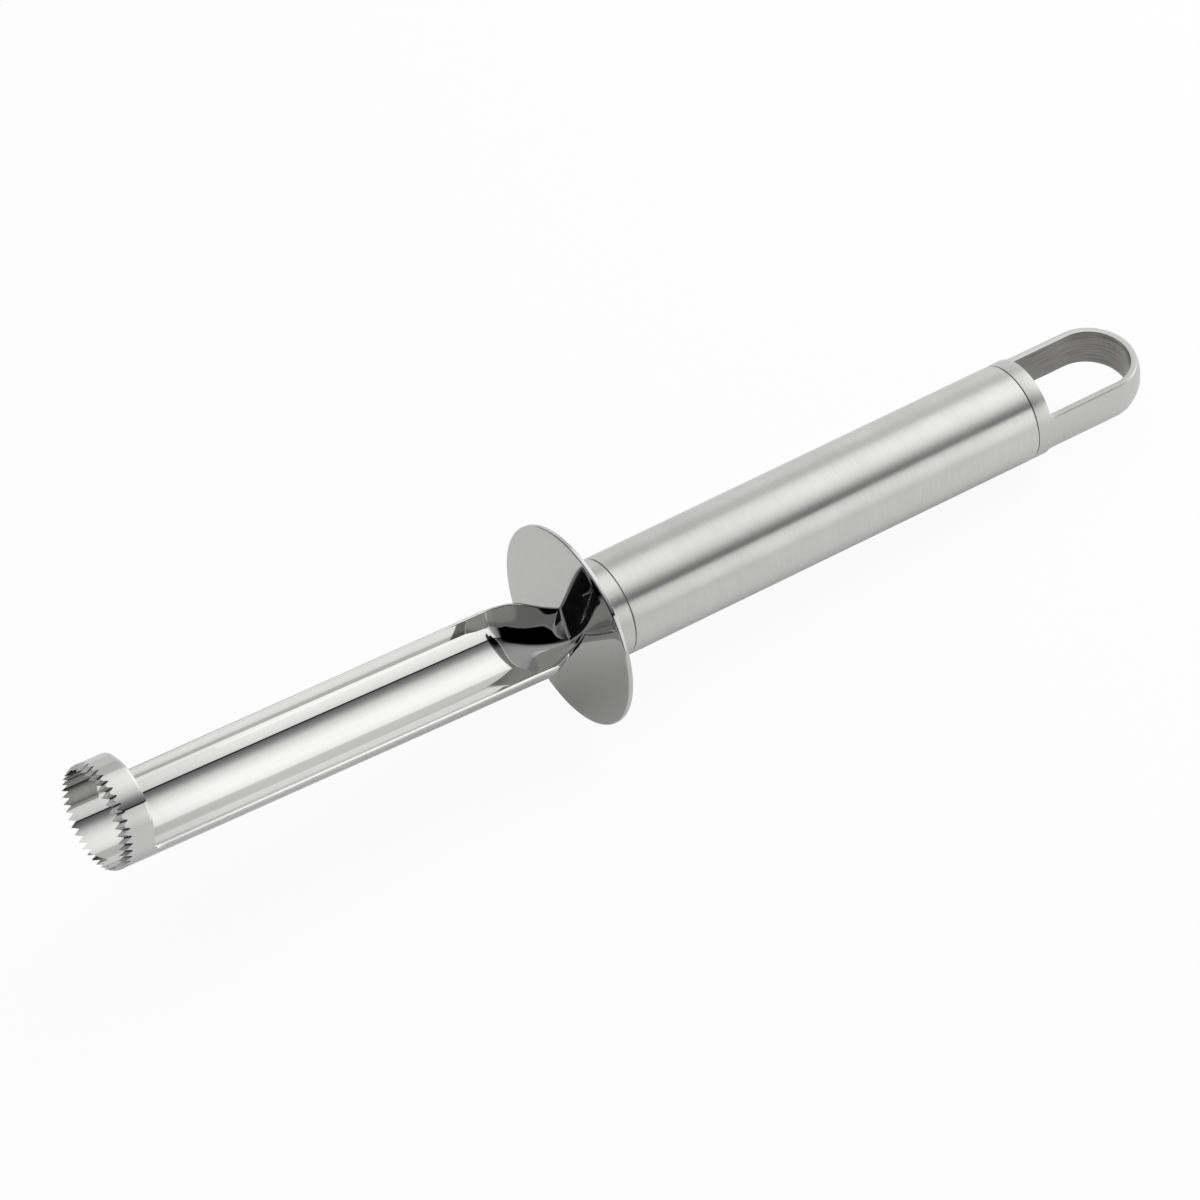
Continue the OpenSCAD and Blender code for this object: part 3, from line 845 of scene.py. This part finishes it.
BORE_SHADE_FROM, BORE_SHADE_TO = 59.0, -150.0   # the painted shade on the top of the ring's bore runs between these, over the top
PAINTED_HIGHLIGHT_FROM = 57.0  # the painted highlight under the far rim starts here
FOOT_SHADE_FROM = 0.8     # share of the notch depth behind which its foot gets painted shade


class CORER_OT_blade(bpy.types.Operator):
    """Builds the toothed blade with its trough and pinched neck"""
    bl_idname = "corer.blade"
    bl_label = "Blade"

    def execute(self, context):
        scene = context.scene
        piece = weld("corer_blade", blade_patches(scene.corer_blade))
        self.mark_ring(piece.data, scene.corer_blade)
        place(piece, steels(scene.corer_finish)["polished_steel"], "blade")
        return {"FINISHED"}

    def mark_ring(self, mesh, blade):
        """Marks the painted shade inside the ring's top, the painted highlight under the far rim, the ground
        flanks of the teeth and the painted shade at the feet of the notches, by the place of each face in the
        tube's frame."""
        x, y, z = face_centres(mesh)
        c, s = math.cos(blade.tilt), math.sin(blade.tilt)
        x, z = x - blade.crease_x, z - blade.tube_rise
        along, up = x * c - z * s, x * s + z * c
        out, turn = np.hypot(y, up), np.degrees(np.arctan2(y, -up))
        outer_r, _, inner_r = tube_radii(blade)
        bore = out < inner_r + ON_WALL
        high = (turn > BORE_SHADE_FROM) | (turn < BORE_SHADE_TO)
        ring = along < ring_rear(blade)
        write_mark(mesh, "painted_shade_inside", bore & high & ring)
        write_mark(mesh, "bright", bore & (turn > PAINTED_HIGHLIGHT_FROM) & ~ring & (along < 0.0))
        between = (out > inner_r + ON_WALL) & (out < outer_r - ON_WALL)
        teeth = between & (along < -blade.trough_l - blade.ring_l / 2)
        write_mark(mesh, "ground", teeth)
        foot_x = -blade.trough_l - blade.ring_l + FOOT_SHADE_FROM * blade.notch_depth + blade.bevel_l / 2
        write_mark(mesh, "foot", teeth & (along > foot_x))


class CORER_OT_disc(bpy.types.Operator):
    """Builds the guard disc, whose polish is duller than the blade's and whose lower tone is painted shade"""
    bl_idname = "corer.disc"
    bl_label = "Guard disc"

    def execute(self, context):
        scene = context.scene
        piece = weld("corer_guard_disc", disc_patches(scene.corer_handle))
        place(piece, steels(scene.corer_finish)["plate_steel"], "guard_disc")
        return {"FINISHED"}


class CORER_OT_end_cap(bpy.types.Operator):
    """Builds the end cap and its hanging loop"""
    bl_idname = "corer.end_cap"
    bl_label = "End cap and loop"

    def execute(self, context):
        scene = context.scene
        handle = scene.corer_handle
        piece = weld("corer_end_cap", cap_patches(handle) + strap_patches(handle), STRAP_SHARP)
        self.mark_painted_shade_inside(piece.data, handle)
        place(piece, steels(scene.corer_finish)["cast_steel"], "end_cap")
        return {"FINISHED"}

    def mark_painted_shade_inside(self, mesh, handle):
        """Marks the inside of the loop, which isn't brushed and gets painted shade: faces no farther out than
        its inner radius.
        """
        x, y, _ = face_centres(mesh)
        out = np.hypot(np.maximum(x - handle.loop_x, 0.0), y)
        inside = (x > handle.cap_x + handle.cap_l - WELD) & (out < handle.loop_inner_r + ON_WALL)
        write_mark(mesh, "painted_shade_inside", inside)


HANDLE_FINISHES = {
    "front_ferrule": "brushed_steel", "handle_sleeve": "brushed_steel", "tang_plug": "plug_resin"}


class CORER_OT_handle(bpy.types.Operator):
    """Finishes the solids that stay: the ferrule, the sleeve and the plug inside them"""
    bl_idname = "corer.handle"
    bl_label = "Handle"

    def execute(self, context):
        made = steels(context.scene.corer_finish)
        for node, slot in HANDLE_FINISHES.items():
            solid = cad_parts[node]
            solid.data.materials.clear()
            solid.data.materials.append(made[slot])
        return {"FINISHED"}


# The stage. The tent's angles are degrees round the handle axis: 0 at the far horizon, 90 overhead
# and 180 at the near horizon.

TENT_FROM, TENT_TO = -20.0, 200.0
TENT_LIGHT = [  # (angle, strength) of the light, with straight lines between
    (-20, 1.0), (24, 0.95), (30, 0.76), (51, 0.78), (56, 1.2), (72, 1.36), (90, 1.34), (102, 1.16),
    (114, 0.86), (120, 0.58), (126, 0.34), (132, 0.22), (136.6, 0.17), (137.0, 0.03), (140.0, 0.03),
    (140.6, 0.95), (150, 1.1), (162, 1.22), (176, 1.1), (200, 1.0)]
DARK_FROM, DARK_TO = 110.0, 124.0   # the dark corner over the blade fades in between these angles
TENT_STEPS, TENT_ROWS = 97, 5
FLOOR_REACH = 3.0   # half the floor's side
LAMP_SIZE = (1.2, 0.9)
LAMP_HEIGHT = 0.62
CARD_SPREAD = 1.3   # half the dark card's width and its height, in tent radii
CARD_FOOT = -0.05   # height of its lower edge
QUAD = ((-1, -1), (1, -1), (1, 1), (-1, 1))
CLIP = (0.05, 20.0)     # the nearest and the farthest that the camera sees


def emitter(name, lights, stage):
    """A light material whose strength changes with the angle round the X axis, in stops of (degrees,
    strength). Along X it grows from tent_dim at an eighth of tent_full to 1 at tent_full, and from 1 at
    tent_bright to tent_end at twice that. On the near side it fades out over the blade."""
    material, tree = blank_material(name)
    where = add(tree, "ShaderNodeTexCoord").outputs["Object"]
    split = add(tree, "ShaderNodeSeparateXYZ", Vector=where)
    along = split.outputs["X"]
    turn = math_node(tree, "ARCTAN2", split.outputs["Z"], split.outputs["Y"])
    stops = tree.nodes.new("ShaderNodeValToRGB")
    stops.color_ramp.interpolation = "LINEAR"
    place_in = ramp(tree, turn, math.radians(TENT_FROM), math.radians(TENT_TO), 0.0, 1.0)
    tree.links.new(place_in, stops.inputs[0])
    elements = stops.color_ramp.elements
    top = max(strength for _, strength in lights)
    for i, (degrees, strength) in enumerate(lights):
        at = (degrees - TENT_FROM) / (TENT_TO - TENT_FROM)
        element = elements[i] if i < 2 else elements.new(at)
        element.position = at
        element.color = (strength / top, strength / top, strength / top, 1.0)
    near = ramp(tree, turn, math.radians(DARK_FROM), math.radians(DARK_TO), 0.0, 1.0)
    dark = ramp(tree, along, stage.tent_edge - stage.tent_dark, stage.tent_edge + stage.tent_dark, 1.0, 0.0)
    both = math_node(tree, "MULTIPLY", near, dark)
    strength = ramp(tree, both, 0.0, 1.0, top * stage.tent_light, 0.0)
    dim = ramp(tree, along, stage.tent_full / 8, stage.tent_full, stage.tent_dim, 1.0)
    end = ramp(tree, along, stage.tent_bright, 2 * stage.tent_bright, 1.0, stage.tent_end)
    strength = math_node(tree, "MULTIPLY", math_node(tree, "MULTIPLY", strength, dim), end)
    glow = add(tree, "ShaderNodeEmission", Strength=strength, Color=stops.outputs[0])
    put_out(tree, glow.outputs[0])
    return material


class CORER_OT_stage(bpy.types.Operator):
    """Sets up the pale floor, the light tent, the dark card, the soft lamp, the white surroundings and the
    camera"""
    bl_idname = "corer.stage"
    bl_label = "Stage"

    def execute(self, context):
        scene = context.scene
        stage = scene.corer_stage
        self.floor(scene, stage)
        self.tent(scene, stage)
        self.card(scene, stage)
        self.lamp(scene, stage)
        self.world(scene)
        self.camera(scene, stage)
        scene.view_settings.view_transform = "Standard"
        return {"FINISHED"}

    def flat(self, scene, name, corners, material):
        """A flat piece of the stage with four corners."""
        mesh = bpy.data.meshes.new(name)
        mesh.from_pydata(corners, [], [(0, 1, 2, 3)])
        mesh.materials.append(material)
        piece = bpy.data.objects.new(name, mesh)
        scene.collection.objects.link(piece)
        return piece

    def floor(self, scene, stage):
        """A flat floor just under the guard disc, which rises towards the loop by the tangent of its lean."""
        handle = scene.corer_handle
        slope = math.tan(stage.floor_lean)
        x0 = handle.disc_x + handle.disc_t / 2
        z0 = -handle.disc_r - stage.floor_gap
        corners = [(FLOOR_REACH * u, FLOOR_REACH * v, z0 + (FLOOR_REACH * u - x0) * slope) for u, v in QUAD]
        self.flat(scene, "floor", corners, self.floor_finish(scene.corer_finish.floor, stage))

    def floor_finish(self, tone, stage):
        """A matt white that the camera and, less, the steel see partly as plain white, for faint shadows."""
        material, tree = blank_material("floor_finish")
        matt = add(
            tree, "ShaderNodeBsdfPrincipled", Base_Color=(*tone, 1.0), Roughness=1.0, Specular_IOR_Level=0.0)
        plain = add(tree, "ShaderNodeEmission", Strength=1.0)
        ray = add(tree, "ShaderNodeLightPath").outputs
        mirror = ramp(tree, ray["Is Glossy Ray"], 0.0, 1.0, 0.0, stage.floor_mirror)
        seen = math_node(tree, "MAXIMUM", ray["Is Camera Ray"], mirror)
        share = ramp(tree, seen, 0.0, 1.0, 0.0, stage.floor_white)
        both = add(tree, "ShaderNodeMixShader", _0=share, _1=matt.outputs[0], _2=plain.outputs[0])
        put_out(tree, both.outputs[0])
        return material

    def tent(self, scene, stage):
        """A light tent: a half round shell (x, radius cos turn, radius sin turn) about the handle axis,
        which only lights and is mirrored."""
        turn = np.radians(np.linspace(TENT_FROM, TENT_TO, TENT_STEPS))[None, :]
        x = np.linspace(-stage.tent_l / 2, stage.tent_l / 2, TENT_ROWS)[:, None]
        shell = np.stack(
            np.broadcast_arrays(x, stage.tent_r * np.cos(turn), stage.tent_r * np.sin(turn)), axis=-1)
        tent = weld("light_tent", [patch(shell)])
        tent.data.materials.append(emitter("tent_light", TENT_LIGHT, stage))
        tent.visible_camera = False

    def lamp(self, scene, stage):
        """A wide soft lamp under the tent's top, which lights the floor and isn't mirrored."""
        light = bpy.data.lights.new("soft_lamp", "AREA")
        light.shape = "RECTANGLE"
        light.size, light.size_y = LAMP_SIZE
        light.energy = stage.lamp_power
        lamp = bpy.data.objects.new("soft_lamp", light)
        lamp.location = (0.0, 0.0, LAMP_HEIGHT)
        scene.collection.objects.link(lamp)
        lamp.visible_glossy = False

    def card(self, scene, stage):
        """A black card that stands beyond the toothed tip and is only seen in the steel."""
        reach = stage.tent_r * CARD_SPREAD
        corners = [(stage.card_x, reach * u, reach if v > 0 else CARD_FOOT) for u, v in QUAD]
        material, tree = blank_material("dark_card_finish")
        dark = add(tree, "ShaderNodeBsdfPrincipled", Base_Color=(0.01, 0.01, 0.01, 1.0), Roughness=1.0)
        put_out(tree, dark.outputs[0])
        self.flat(scene, "dark_card", corners, material).visible_camera = False

    def world(self, scene):
        """White surroundings."""
        world = bpy.data.worlds.new("studio")
        world.use_nodes = True
        white = world.node_tree.nodes["Background"].inputs
        white["Color"].default_value = (1.0, 1.0, 1.0, 1.0)
        white["Strength"].default_value = 1.0
        scene.world = world

    def camera(self, scene, stage):
        """The camera, at the angle of a catalogue picture."""
        lens = bpy.data.cameras.new("camera")
        lens.lens = stage.lens
        lens.clip_start, lens.clip_end = CLIP
        eye = bpy.data.objects.new("camera", lens)
        eye.location = stage.eye
        eye.rotation_euler = stage.turn
        scene.collection.objects.link(eye)
        scene.camera = eye


class CORER_PT_panel(bpy.types.Panel):
    """Lists the pieces of the corer in the sidebar"""
    bl_idname = "CORER_PT_panel"
    bl_label = "Apple corer"
    bl_space_type = "VIEW_3D"
    bl_region_type = "UI"
    bl_category = "Apple corer"

    def draw(self, context):
        column = self.layout.column(align=True)
        for operator in OPERATORS:
            column.operator(operator.bl_idname)


GROUPS = {
    "corer_blade": CorerBlade,
    "corer_handle": CorerHandle,
    "corer_finish": CorerFinish,
    "corer_stage": CorerStage,
}
OPERATORS = (CORER_OT_blade, CORER_OT_disc, CORER_OT_end_cap, CORER_OT_handle, CORER_OT_stage)


def register():
    for name, kind in GROUPS.items():
        bpy.utils.register_class(kind)
        setattr(bpy.types.Scene, name, bpy.props.PointerProperty(type=kind))
    for kind in (*OPERATORS, CORER_PT_panel):
        bpy.utils.register_class(kind)


def unregister():
    for kind in (CORER_PT_panel, *reversed(OPERATORS)):
        bpy.utils.unregister_class(kind)
    for name, kind in reversed(GROUPS.items()):
        delattr(bpy.types.Scene, name)
        bpy.utils.unregister_class(kind)


def main():
    register()
    for operator in OPERATORS:
        prefix, name = operator.bl_idname.split(".")
        getattr(getattr(bpy.ops, prefix), name)()


if __name__ == "__main__":
    main()
